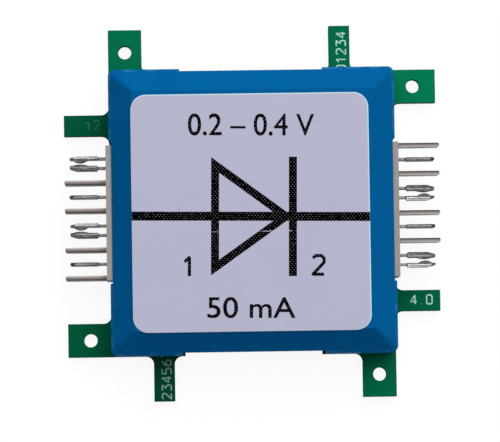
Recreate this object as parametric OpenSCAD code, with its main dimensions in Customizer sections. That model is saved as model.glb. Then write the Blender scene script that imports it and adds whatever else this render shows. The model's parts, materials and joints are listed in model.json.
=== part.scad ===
// Germanium diode block for plug-together experiments. A square circuit board with interlocking edge
// tabs carries a glass point-contact diode under a bevelled plastic cap, and a four-way plug connector
// on its left and its right edge. Sizes are millimetres. The origin is the middle of the board's
// underside, +Z is up, +Y is towards the top of the label and +X is towards the diode's cathode.

/* [Board] */
// Side of the square board, without its tabs
board_w = 34; // [33:0.5:40]
// Thickness of the board
board_t = 1.6; // [1.2:0.1:2.4]
// Width of a wide tab, which ends flush with the board's corner
wide_tab_w = 4; // [3.4:0.1:4.4]
// How far a wide tab stands out from the board's edge
wide_tab_l = 5.2; // [4.4:0.1:6]
// Width of a narrow tab
narrow_tab_w = 2.5; // [1.8:0.1:2.8]
// How far a narrow tab stands out from the board's edge
narrow_tab_l = 5.4; // [4.4:0.1:6]
// Gap between a wide tab and its neighbour's narrow tab when two blocks are plugged together
tab_gap = 1; // [0.4:0.05:1.2]
// Diameter of the hole in each wide tab
tab_hole_d = 1.6; // [1.2:0.1:2.2]
// Distance from a wide tab's tip to its hole's centre
tab_hole_inset = 2.7; // [2:0.1:3.2]
// Radius of the round corner at a tab's root
tab_fillet_r = 0.95; // [0.3:0.05:1.1]
// Depth of the recess in the middle of each edge
recess_d = 0.45; // [0.2:0.05:0.8]
// Room between a connector's end and the end of that recess
recess_room = 0.2; // [0.1:0.05:0.4]

/* [Cap] */
// Height of the cap's flat top above the board
cap_h = 8; // [7.6:0.1:11]
// Height above the board at which the walls end and the bevel starts
cap_wall_h = 4.9; // [4.4:0.1:5.4]
// Width of the bevel, seen from above
cap_bevel_w = 2.8; // [2.2:0.1:3.6]
// Thickness of the cap's walls
cap_wall = 1.2; // [0.9:0.1:1.4]
// Thickness of the cap's top
cap_roof = 1.2; // [0.8:0.1:1.6]
// Radius of the cap's upright corners
cap_corner_r = 0.8; // [0.5:0.1:1.2]
// Gap between the cap's foot and the board
cap_seat_gap = 0.05; // [0.02:0.01:0.2]
// Room between a connector's end and the side of its window
window_room = 0.5; // [0.3:0.1:0.8]
// Room between a connector's top and the top of its window
window_head = 0.2; // [0.15:0.05:0.4]
// Diameter of the pegs that hold the cap in the board
peg_d = 1.5; // [1:0.1:1.8]
// Clearance round each peg in its hole
peg_play = 0.05; // [0.03:0.01:0.1]
// Thickness of the plastic round a peg's upper end
boss_wall = 0.65; // [0.4:0.05:0.8]
// Distance from the inside of the wall to a peg's centre
peg_inset = 1.1; // [0.9:0.1:1.3]
// How far the pegs and posts end above the board's underside
peg_short = 0.2; // [0.1:0.05:0.5]
// How far the plastic round a peg reaches past the wall's top, into the bevel
boss_rise = 0.5; // [0.2:0.1:1]
// Radius of the corners inside the cap
inner_r = 0.3; // [0.2:0.1:0.6]

/* [Label] */
// Margin of bare plastic that the label would leave round it if it were stuck in the middle
label_margin = 0.15; // [0.15:0.05:2]
// Radius of the label's corners
label_r = 1.8; // [0.5:0.1:3]
// Thickness of the label
label_t = 0.1; // [0.05:0.01:0.2]
// How far the label is stuck to the left of the middle
label_left = 0.3; // [0:0.01:0.4]
// How far the label is stuck below the middle
label_down = 0.34; // [0:0.01:0.4]
// Thickness of the printed ink
ink_t = 0.02; // [0.02:0.01:0.05]
// Length of the symbol's triangle, along the current
triangle_l = 9.18; // [6:0.01:10]
// Height of the symbol's triangle
triangle_h = 13.96; // [8:0.01:15]
// Height of the symbol's bar
bar_h = 14.1; // [8:0.01:15]
// Width of the triangle's and the bar's strokes
stroke_w = 0.94; // [0.5:0.01:1.2]
// Width of the long line through the symbol
line_w = 1.05; // [0.5:0.01:1.2]
// How far the symbol is printed below the label's middle
symbol_down = 0.48; // [0:0.01:1]
// How far the symbol's triangle starts left of the label's middle
symbol_left = 4.7; // [4:0.01:5]
// How far the print is turned on the label, in degrees
print_turn = -0.9; // [-1.5:0.1:1.5]

/* [Connector housing] */
// Distance from one contact to the next
pitch = 4; // [3.8:0.05:4.2]
// How far the housing's front stands out from the board's edge
front_proud = 0.4; // [0.3:0.05:0.7]
// Thickness of the front plate
plate_t = 0.8; // [0.7:0.05:0.8]
// Length of the housing from front to back
housing_l = 5.4; // [5:0.1:5.8]
// Height of the housing above the board
housing_h = 5; // [4.6:0.1:5.2]
// How far the front plate reaches down past the board's top
plate_drop = 1.2; // [0.8:0.1:1.2]
// Length of a fin
fin_l = 4.93; // [4.5:0.01:5]
// Thickness of a fin at its foot
fin_t = 0.62; // [0.5:0.01:0.8]
// How much one side of a fin leans in from foot to top
fin_draft = 0.14; // [0:0.01:0.3]
// Gap between two fins that lie side by side when blocks are plugged together
fin_gap = 0.06; // [0.04:0.01:0.2]
// Height of a fin, from its foot to its top
fin_h = 2.2; // [2:0.1:3.4]
// How far a fin's top lies below the housing's top
fin_below = 1.2; // [0.2:0.1:1.4]
// Radius of a fin's outer corners, seen from the side
fin_tip_r = 0.6; // [0.2:0.1:1]
// Radius of the round corner between a fin and the plate
fin_fillet_r = 0.3; // [0.1:0.05:0.5]
// Diameter of the posts that locate the housing in the board
post_d = 1; // [0.8:0.1:1.2]
// Clearance round each post in its hole
post_play = 0.05; // [0.03:0.01:0.1]
// Distance from the housing's back to its posts
post_back = 2.2; // [1.8:0.1:2.6]
// Distance from the housing's end to a post
post_side = 0.8; // [0.7:0.05:1]

/* [Contacts] */
// Height of the contacts' middle above the board
contact_mid = 2.5; // [2.4:0.1:2.7]
// Thickness of the spring sheet
sheet_t = 0.3; // [0.25:0.01:0.34]
// Thickness of a blade's folded front part
blade_t = 0.42; // [0.36:0.01:0.46]
// Height of a blade
blade_h = 2.2; // [1.8:0.1:2.4]
// How far a blade stands out from the housing's front
blade_l = 4.37; // [4:0.01:4.6]
// Height of a beam
beam_h = 1.8; // [1.4:0.1:2]
// How far a beam stands out from the housing's front
beam_l = 4.3; // [4:0.01:4.6]
// Distance from the pair's middle to the middle of a beam's root
beam_root_y = 0.56; // [0.5:0.01:0.6]
// Distance from the pair's middle to a beam's outer face
beam_outer_y = 0.9; // [0.85:0.01:1]
// Gap between a pair's two bumps
bump_gap = 0.2; // [0.12:0.01:0.3]
// Distance from the housing's front to the bump's peak
bump_x = 3.06; // [2.6:0.01:3.2]
// Radius of the bump on the beam with the strip
bump_r = 1.35; // [1:0.05:1.8]
// Height of the bump on the beam with the strip
bump_h = 0.3; // [0.2:0.02:0.36]
// Radius of the bump on the plain beam
plain_bump_r = 3; // [2:0.1:3.4]
// Height of the bump on the plain beam
plain_bump_h = 0.16; // [0.12:0.01:0.2]
// Length over which a beam's outer side tapers to its tip
beam_taper_l = 0.9; // [0.7:0.05:1.2]
// How far a beam's outer side tapers in
beam_taper = 0.24; // [0.16:0.01:0.26]
// Clip at the two corners of a beam's tip
beam_clip = 0.06; // [0.04:0.01:0.08]
// Length of a contact's thin root outside the housing
root_l = 1.0; // [0.8:0.1:1.4]
// Distance from the housing's front back to the line on which a beam turns
hinge_x = 2.3; // [2:0.1:2.6]
// Gap at that line between a beam and its base
hinge_gap = 0.05; // [0.03:0.01:0.1]
// Width of a contact's floor and tail
tail_w = 1; // [0.8:0.1:1.1]
// Length of a contact's foot on its pad
foot_l = 1.35; // [1:0.05:1.8]
// Distance from the housing's back to a contact's leg
leg_room = 0.75; // [0.5:0.05:1]
// Distance from the housing's back to a contact's rear edge inside it
contact_inset = 0.5; // [0.3:0.1:0.8]
// Room round a contact in its channel
channel_room = 0.15; // [0.1:0.05:0.2]
// Room beside a contact where it leaves the front plate
beam_play = 0.12; // [0.1:0.01:0.16]
// How far the corners of a blade's tip are clipped
blade_clip = 0.5; // [0.3:0.1:0.8]

/* [Diode] */
// Diameter of the glass
glass_d = 2.7; // [2.2:0.1:3]
// Length of the glass
glass_l = 7.6; // [7:0.1:8.4]
// Thickness of the glass wall
glass_wall = 0.5; // [0.3:0.05:0.6]
// Length of the glass bead that seals each end
bead_l = 1.4; // [1:0.1:1.6]
// Diameter of the leads
lead_d = 0.5; // [0.4:0.05:0.6]
// Length of a straight lead from the glass to its bend
lead_straight = 1.4; // [1:0.1:2]
// Length of a lead's foot on its pad
lead_foot = 1.3; // [0.8:0.1:1.4]
// Gap between the glass and the board's copper
diode_gap = 0.25; // [0.1:0.05:0.5]
// Width of the painted band
band_w = 0.9; // [0.5:0.1:1.4]
// Diameter of the whisker's wire
whisker_d = 0.1; // [0.06:0.01:0.14]
// Radius of the whisker's bends
whisker_r = 0.25; // [0.2:0.01:0.26]
// Side of the square crystal
crystal_w = 0.9; // [0.7:0.05:1]
// Thickness of the crystal
crystal_t = 0.35; // [0.2:0.05:0.5]
// Distance from the middle of the glass to the crystal's face
crystal_x = 0.4; // [0.3:0.05:0.6]
// Diameter of the stud that carries the crystal
stud_d = 1.1; // [1:0.05:1.3]
// Diameter of the post that carries the whisker
whisker_post_d = 0.7; // [0.5:0.05:1]
// Length of the post that carries the whisker
whisker_post_l = 0.7; // [0.4:0.05:0.7]
// Gap between a bead and the glass and lead that it is fused to
seal_gap = 0.01; // [0.01:0.01:0.02]
// How far a bead lies inside the glass tube's end
bead_inset = 0.1; // [0.05:0.05:0.3]
// How far a lead ends past its bead, inside the glass
lead_past_bead = 0.1; // [0.05:0.05:0.3]
// Radius of the glass tube's fire-polished ends
glass_round_r = 0.45; // [0.2:0.05:0.5]

/* [Copper] */
// Thickness of the copper and its coating
copper_t = 0.05; // [0.04:0.01:0.1]
// Width of a contact's pad
pad_w = 1.5; // [1.3:0.1:2]
// Width of a track
track_w = 0.6; // [0.3:0.1:1]
// How far a pad reaches past what is soldered on it
pad_margin = 0.3; // [0.2:0.05:0.5]
// Width of the diode's pads
diode_pad_w = 2.2; // [1.8:0.1:2.6]
// How far a track starts inside its pad's end
track_lap = 0.5; // [0.3:0.1:1]
// Distance from the pads to the through track beside them
through_gap = 1.2; // [1:0.1:1.6]

/* [Hidden] */
$fn = 64;
FINE = 0.01;
half = board_w / 2;
top_z = board_t;
pad_z = board_t + copper_t;

contact_y = [1.5 * pitch, 0.5 * pitch, -0.5 * pitch, -1.5 * pitch];
housing_w = 4 * pitch;
front_x = half + front_proud;
back_x = front_x - housing_l;
housing_top = top_z + housing_h;
fin_step = (fin_t + fin_gap) / 2;
fin_y = [housing_w / 2 - fin_t / 2, pitch + fin_step, -fin_step, -pitch + fin_step];
fin_top = housing_top - fin_below;
fin_foot = fin_top - fin_h;
post_x = back_x + post_back;
post_y = housing_w / 2 - post_side;

contact_z = top_z + contact_mid;
floor_z = contact_z - blade_h / 2 - sheet_t;
blade_top = contact_z + blade_h / 2;
turn_x = front_x - hinge_x;
rear_x = back_x + contact_inset;
leg_x = back_x - leg_room - sheet_t;
toe_x = leg_x - foot_l;
pad_in = toe_x - pad_margin;
pad_out = leg_x + sheet_t + pad_margin;

wide_y = half - wide_tab_w / 2;
wide_tip = half + wide_tab_l;
narrow_y = half - wide_tab_w - tab_gap - narrow_tab_w / 2;
tab_hole_x = wide_tip - tab_hole_inset;
recess_half = housing_w / 2 + recess_room;

cap_top = top_z + cap_h;
cap_foot = top_z + cap_seat_gap;
wall_top = top_z + cap_wall_h;
roof_under = cap_top - cap_roof;
flat_w = board_w - 2 * cap_bevel_w;
bevel_h = cap_h - cap_wall_h;
bevel_turn = atan(cap_bevel_w / bevel_h);
inner_wall_top = wall_top - cap_wall * tan(bevel_turn / 2);
inner_flat_w = flat_w - 2 * cap_roof * tan((90 - bevel_turn) / 2);
window_half = housing_w / 2 + window_room;
window_top = housing_top + window_head;
window_cut = cap_wall + 1.5;
peg_xy = half - cap_wall - peg_inset;
boss_r = peg_d / 2 + boss_wall;
boss_top = wall_top + boss_rise;

label_w = flat_w - 2 * label_margin;
label_top = cap_top + label_t;

axis_z = pad_z + diode_gap + glass_d / 2;
lead_r = lead_d / 2;
foot_z = pad_z + lead_r;
lead_drop = axis_z - foot_z;
bend_r = 0.4 * lead_drop;
bend_x = glass_l / 2 + lead_straight;
lead_foot_x = bend_x + 2 * bend_r;
diode_pad_in = bend_x + bend_r - pad_margin;
diode_pad_out = lead_foot_x + lead_foot + pad_margin;
bore_r = glass_d / 2 - glass_wall;
bead_in = glass_l / 2 - bead_inset - bead_l;
lead_end = bead_in - lead_past_bead;
glass_round = min(glass_round_r, 0.9 * glass_wall);

board_green = [0, 0.42, 0.24];
track_green = [0.05, 0.5, 0.3];
cap_blue = [0, 0.36, 0.62];
label_white = [0.74, 0.74, 0.83];
ink_black = [0.05, 0.05, 0.06];
housing_beige = [0.68, 0.63, 0.6];
tin_grey = [0.6, 0.6, 0.6];
solder_grey = [0.72, 0.73, 0.75];

// Repeats its children on the board's four sides, which are alike.
module on_each_side() {
    for (turn = [0 : 90 : 270]) rotate(turn) children();
}

// Turns the right connector's pieces to the left edge.
module on_left() {
    rotate(180) children();
}

module box(low, high) {
    translate(low) cube(high - low);
}

module rounded_square(w, r) {
    union() {
        square([w - 2 * r, w], center = true);
        square([w, w - 2 * r], center = true);
        for (sx = [-1, 1], sy = [-1, 1]) translate([sx * (w / 2 - r), sy * (w / 2 - r)]) circle(r);
    }
}

// A round inner corner at the origin, filling the quarter where x and y are positive.
module corner_fillet(r) {
    difference() {
        translate([-FINE, -FINE]) square(r + FINE);
        translate([r, r]) circle(r);
    }
}

// One side's wide and narrow tab, drawn on the right-hand side.
module tabs_2d() {
    translate([half - FINE, wide_y - wide_tab_w / 2]) square([wide_tab_l + FINE, wide_tab_w]);
    translate([half - FINE, -narrow_y - narrow_tab_w / 2]) square([narrow_tab_l + FINE, narrow_tab_w]);
    translate([half, wide_y - wide_tab_w / 2]) mirror([0, 1]) corner_fillet(tab_fillet_r);
    translate([half, -narrow_y + narrow_tab_w / 2]) corner_fillet(tab_fillet_r);
    translate([half, -narrow_y - narrow_tab_w / 2]) mirror([0, 1]) corner_fillet(tab_fillet_r);
}

module board_holes_2d() {
    on_each_side() {
        translate([tab_hole_x, wide_y]) circle(tab_hole_d / 2);
        translate([peg_xy, peg_xy]) circle(peg_d / 2 + peg_play);
        for (s = [-1, 1]) translate([post_x, s * post_y]) circle(post_d / 2 + post_play);
    }
}

module circuit_board() {
    color(board_green) linear_extrude(board_t) difference() {
        union() {
            square(board_w, center = true);
            on_each_side() tabs_2d();
        }
        on_each_side() translate([half - recess_d, -recess_half]) square([1, 2 * recess_half]);
        board_holes_2d();
    }
}

module pads_2d() {
    on_each_side() for (y = contact_y) translate([pad_in, y - pad_w / 2]) square([pad_out - pad_in, pad_w]);
    for (s = [-1, 1]) translate([s * (diode_pad_in + diode_pad_out) / 2, 0])
        square([diode_pad_out - diode_pad_in, diode_pad_w], center = true);
}

module solder_pads() {
    color(solder_grey) translate([0, 0, top_z]) linear_extrude(copper_t) pads_2d();
}

// A straight track with round ends.
module track(from, to) {
    run = to - from;
    translate(from) rotate(atan2(run[1], run[0])) {
        translate([0, -track_w / 2]) square([norm(run), track_w]);
        circle(track_w / 2);
        translate([norm(run), 0]) circle(track_w / 2);
    }
}

// The two middle contacts of a side meet at the diode. The outer ones run on to the next side.
module tracks_2d() {
    join_x = (diode_pad_out + pad_in) / 2;
    start = pad_in + track_lap;
    through = pad_in - through_gap;
    outer = contact_y[0];
    for (s = [-1, 1]) {
        for (y = [contact_y[1], contact_y[2]]) track([s * start, y], [s * join_x, y]);
        track([s * join_x, contact_y[2]], [s * join_x, contact_y[1]]);
        track([s * join_x, 0], [s * (diode_pad_out - track_lap), 0]);
        for (t = [-1, 1]) {
            track([s * start, t * outer], [s * outer, t * start]);
            track([t * outer, s * start], [t * outer, s * through]);
        }
        track([-outer, s * through], [outer, s * through]);
    }
}

module copper_tracks() {
    color(track_green) translate([0, 0, top_z]) linear_extrude(copper_t) difference() {
        tracks_2d();
        pads_2d();
    }
}

// A thin slab of the cap's outline with its lower or upper face at z.
module cap_layer(w, r, z, up = true) {
    translate([0, 0, up ? z : z - FINE]) linear_extrude(FINE) rounded_square(w, r);
}

module cap_block(wall_w, wall_r, top_w, top_r, low, bend, high) {
    translate([0, 0, low]) linear_extrude(bend - low) rounded_square(wall_w, wall_r);
    hull() {
        cap_layer(wall_w, wall_r, bend - FINE, $fn = 32);
        cap_layer(top_w, top_r, high, false, $fn = 32);
    }
}

module cap_pegs() {
    for (sx = [-1, 1], sy = [-1, 1]) translate([sx * peg_xy, sy * peg_xy, 0]) {
        translate([0, 0, cap_foot]) cylinder(r = boss_r, h = boss_top - cap_foot);
        translate([0, 0, peg_short]) cylinder(r = peg_d / 2, h = boss_top - peg_short - FINE);
    }
}

module cap() {
    color(cap_blue) union() {
        difference() {
            cap_block(board_w, cap_corner_r, flat_w, inner_r, cap_foot, wall_top, cap_top);
            cap_block(board_w - 2 * cap_wall, inner_r, inner_flat_w, inner_r,
                      cap_foot - 1, inner_wall_top, roof_under);
            on_each_side() box([half - window_cut, -window_half, cap_foot - 1],
                               [half + 1, window_half, window_top]);
        }
        cap_pegs();
    }
}

module label_outline(margin = 0) {
    translate([-label_left, -label_down]) rounded_square(label_w - 2 * margin, label_r);
}

module label() {
    color(label_white) translate([0, 0, cap_top]) linear_extrude(label_t) label_outline();
}

// The triangle of the symbol, as an outline of even stroke, with its base at x = 0 and its point at x = l.
module triangle_outline(l, h, w) {
    lean = atan(h / 2 / l);
    inner_l = l - w / sin(lean);
    inner_h = (inner_l - w) * tan(lean);
    difference() {
        polygon([[0, -h / 2], [l, 0], [0, h / 2]]);
        polygon([[w, -inner_h], [inner_l, 0], [w, inner_h]]);
    }
}

module symbol_2d() {
    translate([-symbol_left, 0]) {
        triangle_outline(triangle_l + stroke_w / 2, triangle_h, stroke_w);
        translate([triangle_l, -bar_h / 2]) square([stroke_w, bar_h]);
    }
    square([2 * label_w, line_w], center = true);
}

module label_print() {
    color(ink_black) translate([0, 0, label_top]) linear_extrude(ink_t) intersection() {
        label_outline(FINE);
        translate([-label_left, -label_down - symbol_down]) rotate(print_turn) symbol_2d();
    }
}

// A fin's side view, with its outer corners rounded.
module fin_side_2d() {
    difference() {
        translate([front_x - FINE, fin_foot]) square([fin_l + FINE, fin_top - fin_foot]);
        translate([front_x + fin_l, fin_top]) rotate(180) corner_fillet(fin_tip_r);
        translate([front_x + fin_l, fin_foot]) rotate(90) corner_fillet(fin_tip_r);
    }
}

// A fin's end view, with one upright side and one that leans in.
module fin_end_2d() {
    polygon([[-fin_t / 2, fin_foot], [fin_t / 2, fin_foot],
             [fin_t / 2 - fin_draft, fin_top], [-fin_t / 2, fin_top]]);
}

module fin() {
    intersection() {
        translate([0, fin_t, 0]) rotate([90, 0, 0]) linear_extrude(2 * fin_t) fin_side_2d();
        translate([front_x - 1, 0, 0]) rotate([90, 0, 90]) linear_extrude(fin_l + 2) fin_end_2d();
    }
    translate([front_x, -fin_t / 2, fin_foot]) mirror([0, 1, 0])
        linear_extrude(fin_top - fin_foot) corner_fillet(fin_fillet_r);
    translate([front_x, fin_t / 2 - fin_draft - FINE, fin_foot])
        linear_extrude(fin_top - fin_foot) corner_fillet(fin_fillet_r);
}

// The room for one contact in the housing: a channel that is open at the back, and a slot through the
// front plate. Each is given by the half of the width of the metal in it.
module contact_room(metal_half, slot_half, slot_top) {
    wall_y = metal_half + channel_room;
    slot_y = slot_half + beam_play;
    box([back_x - 1, -wall_y, floor_z], [front_x - plate_t, wall_y, blade_top + channel_room]);
    box([back_x, -slot_y, floor_z + sheet_t], [front_x + 1, slot_y, slot_top]);
}

module blade_room() {
    contact_room(tail_w / 2, sheet_t / 2, blade_top + channel_room);
}

module receptacle_room() {
    base_half = beam_root_y + sheet_t / 2;
    contact_room(base_half, base_half, blade_top);
}

module housing() {
    color(housing_beige) difference() {
        union() {
            box([back_x, -housing_w / 2, top_z], [front_x - plate_t, housing_w / 2, housing_top]);
            box([front_x - plate_t, -housing_w / 2, top_z - plate_drop],
                [front_x, housing_w / 2, housing_top]);
            for (y = fin_y) translate([0, y, 0]) fin();
            for (s = [-1, 1]) translate([post_x, s * post_y, peg_short])
                cylinder(d = post_d, h = top_z - peg_short + FINE);
        }
        translate([0, contact_y[0], 0]) blade_room();
        translate([0, contact_y[2], 0]) blade_room();
        translate([0, contact_y[1], 0]) receptacle_room();
        translate([0, contact_y[3], 0]) receptacle_room();
    }
}

// The floor of a contact, the leg behind the housing and the foot on the pad, as one bent strip.
module contact_tail(front) {
    translate([0, tail_w / 2, 0]) rotate([90, 0, 0]) linear_extrude(tail_w)
        polygon([[front, floor_z], [front, floor_z + sheet_t], [leg_x, floor_z + sheet_t],
                 [leg_x, pad_z + sheet_t], [toe_x, pad_z + sheet_t], [toe_x, pad_z],
                 [leg_x + sheet_t, pad_z], [leg_x + sheet_t, floor_z]]);
}

// A blade's side view with clipped corners at its tip.
module blade_side_2d() {
    tip = front_x + blade_l;
    clip_x = tip - blade_clip;
    low = contact_z - blade_h / 2;
    polygon([[rear_x, low - FINE], [clip_x, low - FINE], [tip, low + blade_clip],
             [tip, blade_top - blade_clip], [clip_x, blade_top], [rear_x, blade_top]]);
}

module blade() {
    body_x = front_x + root_l;
    nose_x = front_x + blade_l - blade_t / 2;
    color(tin_grey) union() {
        contact_tail(turn_x);
        intersection() {
            translate([0, blade_t, 0]) rotate([90, 0, 0]) linear_extrude(2 * blade_t) blade_side_2d();
            translate([0, 0, floor_z]) linear_extrude(2 * blade_h) {
                translate([back_x, -sheet_t / 2]) square([body_x - back_x, sheet_t]);
                translate([body_x - FINE, -blade_t / 2]) square([nose_x - body_x + FINE, blade_t]);
                translate([nose_x, 0]) circle(blade_t / 2);
            }
        }
    }
}

// A receptacle without its beams: a channel of sheet whose two side walls carry the beams.
module receptacle_base() {
    front = turn_x - sheet_t / 2 - hinge_gap;
    outer = beam_root_y + sheet_t / 2;
    color(tin_grey) union() {
        contact_tail(front);
        box([rear_x, -outer, floor_z], [front, outer, floor_z + sheet_t]);
        for (s = [-1, 1]) translate([0, s * beam_root_y, 0])
            box([rear_x, -sheet_t / 2, floor_z], [front, sheet_t / 2, contact_z + beam_h / 2]);
    }
}

// A beam seen from above, with its inner side towards y = 0, as it lies on the +y side of a pair.
// Its bump is an arc that rises by bulge from the inner side.
module beam_2d(arc_r, bulge) {
    body_x = front_x + root_l;
    tip = front_x + beam_l;
    peak = front_x + bump_x;
    inner_y = bump_gap / 2 + bulge;
    translate([turn_x, beam_root_y]) circle(sheet_t / 2);
    translate([turn_x, beam_root_y - sheet_t / 2]) square([body_x - turn_x + FINE, sheet_t]);
    polygon([[body_x, inner_y], [tip - beam_clip, inner_y], [tip, inner_y + beam_clip],
             [tip, beam_outer_y - beam_taper - beam_clip], [tip - beam_clip, beam_outer_y - beam_taper],
             [tip - beam_taper_l, beam_outer_y], [body_x, beam_outer_y]]);
    intersection() {
        translate([peak, bump_gap / 2 + arc_r]) circle(arc_r);
        translate([body_x, 0]) square([tip - beam_clip - body_x, inner_y + FINE]);
    }
}

module beam_a() {
    color(tin_grey) translate([0, 0, contact_z - beam_h / 2]) linear_extrude(beam_h)
        beam_2d(plain_bump_r, plain_bump_h);
}

// The other beam has a low step along its outer edge, which shows as a bright flat strip from above.
module beam_b() {
    strip_w = 0.24;
    strip_drop = 0.35;
    beam_top = contact_z + beam_h / 2;
    color(tin_grey) mirror([0, 1, 0]) difference() {
        translate([0, 0, contact_z - beam_h / 2]) linear_extrude(beam_h) beam_2d(bump_r, bump_h);
        box([front_x + root_l + 0.15, beam_outer_y - strip_w, beam_top - strip_drop],
            [front_x + beam_l - 0.35, beam_outer_y + 1, beam_top + 1]);
    }
}

// The solder round one contact's foot: a fillet along each side and one at the toe.
module foot_solder() {
    reach = 0.22;
    rise = 0.24;
    for (s = [0, 1]) mirror([0, s, 0]) translate([toe_x, tail_w / 2, pad_z]) rotate([90, 0, 90])
        linear_extrude(0.9 * foot_l) polygon([[0, 0], [reach, 0], [0, rise]]);
    translate([toe_x, tail_w / 2, pad_z]) rotate([90, 0, 0])
        linear_extrude(tail_w) polygon([[0, 0], [-reach, 0], [0, rise]]);
}

module contact_solder() {
    color(solder_grey) for (y = contact_y) translate([0, y, 0]) foot_solder();
}

// Places a shape that is drawn round the z axis on the diode's axis, with +z turned to +x.
module along_diode(x = 0) {
    translate([x, 0, axis_z]) rotate([0, 90, 0]) children();
}

module glass_envelope() {
    edge = glass_d / 2 - glass_round;
    end = glass_l / 2 - glass_round;
    color([0.85, 0.88, 0.85, 0.4]) along_diode() rotate_extrude() {
        translate([bore_r, -glass_l / 2]) square([edge - bore_r, glass_l]);
        translate([bore_r, -end]) square([glass_d / 2 - bore_r, 2 * end]);
        for (s = [-1, 1]) intersection() {
            translate([edge, s * end]) circle(glass_round);
            translate([bore_r, -glass_l]) square([glass_d, 2 * glass_l]);
        }
    }
}

module bead() {
    color([0.5, 0.62, 0.6]) along_diode(bead_in) difference() {
        cylinder(r = bore_r - seal_gap, h = bead_l);
        translate([0, 0, -1]) cylinder(r = lead_r + seal_gap, h = bead_l + 2);
    }
}

// A quarter bend of round wire that starts along +x at the origin and turns down or up to the side given.
module wire_bend(r, wire_r, angle) {
    side = angle > 0 ? 1 : -1;
    translate([0, 0, side * r]) rotate([90, 0, 0]) rotate(side > 0 ? -90 : 90 + angle)
        rotate_extrude(angle = abs(angle)) translate([r, 0]) circle(wire_r);
}

module formed_lead() {
    color(tin_grey) union() {
        along_diode(lead_end) cylinder(r = lead_r, h = bend_x - lead_end);
        translate([bend_x, 0, axis_z]) wire_bend(bend_r, lead_r, -90);
        translate([bend_x + bend_r, 0, foot_z + bend_r]) cylinder(r = lead_r, h = lead_drop - 2 * bend_r);
        translate([lead_foot_x, 0, foot_z]) rotate([0, 0, 180]) wire_bend(bend_r, lead_r, 90);
        translate([lead_foot_x, 0, foot_z]) rotate([0, 90, 0]) cylinder(r = lead_r, h = lead_foot);
    }
}

module diode_solder() {
    base_r = 0.85;
    rise = 0.6;
    ball_r = (base_r * base_r + rise * rise) / (2 * rise);
    x = lead_foot_x + lead_foot / 2;
    color(solder_grey) difference() {
        intersection() {
            translate([x, 0, pad_z + rise - ball_r]) sphere(ball_r);
            box([x - ball_r, -ball_r, pad_z], [x + ball_r, ball_r, pad_z + ball_r]);
        }
        formed_lead();
    }
}

module whisker_post() {
    color(tin_grey) along_diode(-lead_end) cylinder(d = whisker_post_d, h = whisker_post_l);
}

// The whisker leaves its post, makes one bend up and one down, and ends in a point on the crystal.
module cat_whisker() {
    start = whisker_post_l - lead_end;
    tip_l = 0.1;
    point_r = 0.01;
    s_start = crystal_x - tip_l - 6 * whisker_r;
    wire_r = whisker_d / 2;
    color([0.8, 0.65, 0.3]) {
        along_diode(start) cylinder(r = wire_r, h = s_start - start);
        translate([s_start, 0, axis_z]) {
            wire_bend(whisker_r, wire_r, 90);
            translate([whisker_r, 0, whisker_r]) rotate([0, -90, 0]) wire_bend(whisker_r, wire_r, -180);
            translate([3 * whisker_r, 0, -whisker_r]) cylinder(r = wire_r, h = 2 * whisker_r);
            translate([3 * whisker_r, 0, -whisker_r]) rotate([0, 90, 0]) wire_bend(whisker_r, wire_r, 180);
            translate([5 * whisker_r, 0, -whisker_r]) rotate([0, -90, 0]) wire_bend(whisker_r, wire_r, -90);
        }
        along_diode(crystal_x - tip_l) cylinder(r1 = wire_r, r2 = point_r, h = tip_l);
    }
}

module germanium_crystal() {
    color([0.35, 0.36, 0.38]) box([crystal_x, -crystal_w / 2, axis_z - crystal_w / 2],
                                  [crystal_x + crystal_t, crystal_w / 2, axis_z + crystal_w / 2]);
}

module crystal_post() {
    start = crystal_x + crystal_t;
    color(tin_grey) along_diode(start) cylinder(d = stud_d, h = lead_end - start);
}

module cathode_band() {
    paint_t = 0.04;
    paint_gap = 0.005;
    band_x = glass_l / 2 - glass_round - 0.15 - band_w;
    color("black") along_diode(band_x) difference() {
        cylinder(r = glass_d / 2 + paint_t, h = band_w);
        translate([0, 0, -1]) cylinder(r = glass_d / 2 + paint_gap, h = band_w + 2);
    }
}

circuit_board();
copper_tracks();
solder_pads();
cap();
label();
label_print();
housing();  // right_housing
on_left() housing();  // left_housing
translate([0, contact_y[0], 0]) blade();  // right_blade_1
translate([0, contact_y[2], 0]) blade();  // right_blade_3
on_left() translate([0, contact_y[0], 0]) blade();  // left_blade_1
on_left() translate([0, contact_y[2], 0]) blade();  // left_blade_3
translate([0, contact_y[1], 0]) receptacle_base();  // right_receptacle_2
translate([0, contact_y[3], 0]) receptacle_base();  // right_receptacle_4
on_left() translate([0, contact_y[1], 0]) receptacle_base();  // left_receptacle_2
on_left() translate([0, contact_y[3], 0]) receptacle_base();  // left_receptacle_4
translate([0, contact_y[1], 0]) beam_a();  // right_beam_2a
translate([0, contact_y[1], 0]) beam_b();  // right_beam_2b
translate([0, contact_y[3], 0]) beam_a();  // right_beam_4a
translate([0, contact_y[3], 0]) beam_b();  // right_beam_4b
on_left() translate([0, contact_y[1], 0]) beam_a();  // left_beam_2a
on_left() translate([0, contact_y[1], 0]) beam_b();  // left_beam_2b
on_left() translate([0, contact_y[3], 0]) beam_a();  // left_beam_4a
on_left() translate([0, contact_y[3], 0]) beam_b();  // left_beam_4b
contact_solder();  // right_contact_solder
on_left() contact_solder();  // left_contact_solder
glass_envelope();
on_left() bead();  // anode_bead
bead();  // cathode_bead
on_left() formed_lead();  // anode_lead
formed_lead();  // cathode_lead
whisker_post();
cat_whisker();
crystal_post();
germanium_crystal();
cathode_band();
on_left() diode_solder();  // anode_solder
diode_solder();  // cathode_solder
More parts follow.
